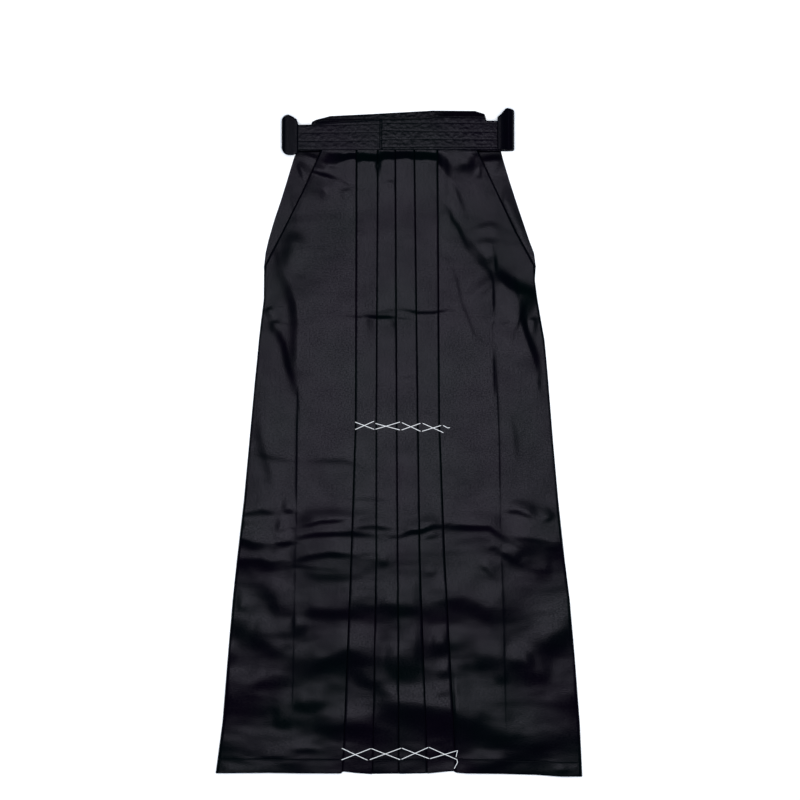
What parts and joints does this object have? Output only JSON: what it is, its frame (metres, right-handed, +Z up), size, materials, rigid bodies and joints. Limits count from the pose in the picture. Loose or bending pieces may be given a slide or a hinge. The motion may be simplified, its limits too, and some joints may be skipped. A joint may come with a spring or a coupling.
{
  "type": "hakama trousers",
  "caption": "Black pleated hakama trousers laid flat on their back, front up, with knife pleats, slanted side openings and folded waist straps.",
  "frame": {"origin": "on the surface that the garment lies on, under the middle of its overall box", "axes": "+Y towards the waist, +X towards the wearer's left, which is the right of someone who looks at the front, +Z up out of the front"},
  "size_m": [0.5396, 0.981, 0.0205],
  "materials": {
    "cloth": "satin weave, soft sheen",
    "band": "quilted with rows of stitches",
    "strap": "satin weave, folded",
    "thread": "white cotton basting thread"
  },
  "bodies": {
    "root": {"front_right": "cloth", "front_left": "cloth", "back_right": "cloth", "back_left": "cloth", "front_band": "band", "back_band": "strap", "strap_folds": "strap"}
  },
  "joints": []
}
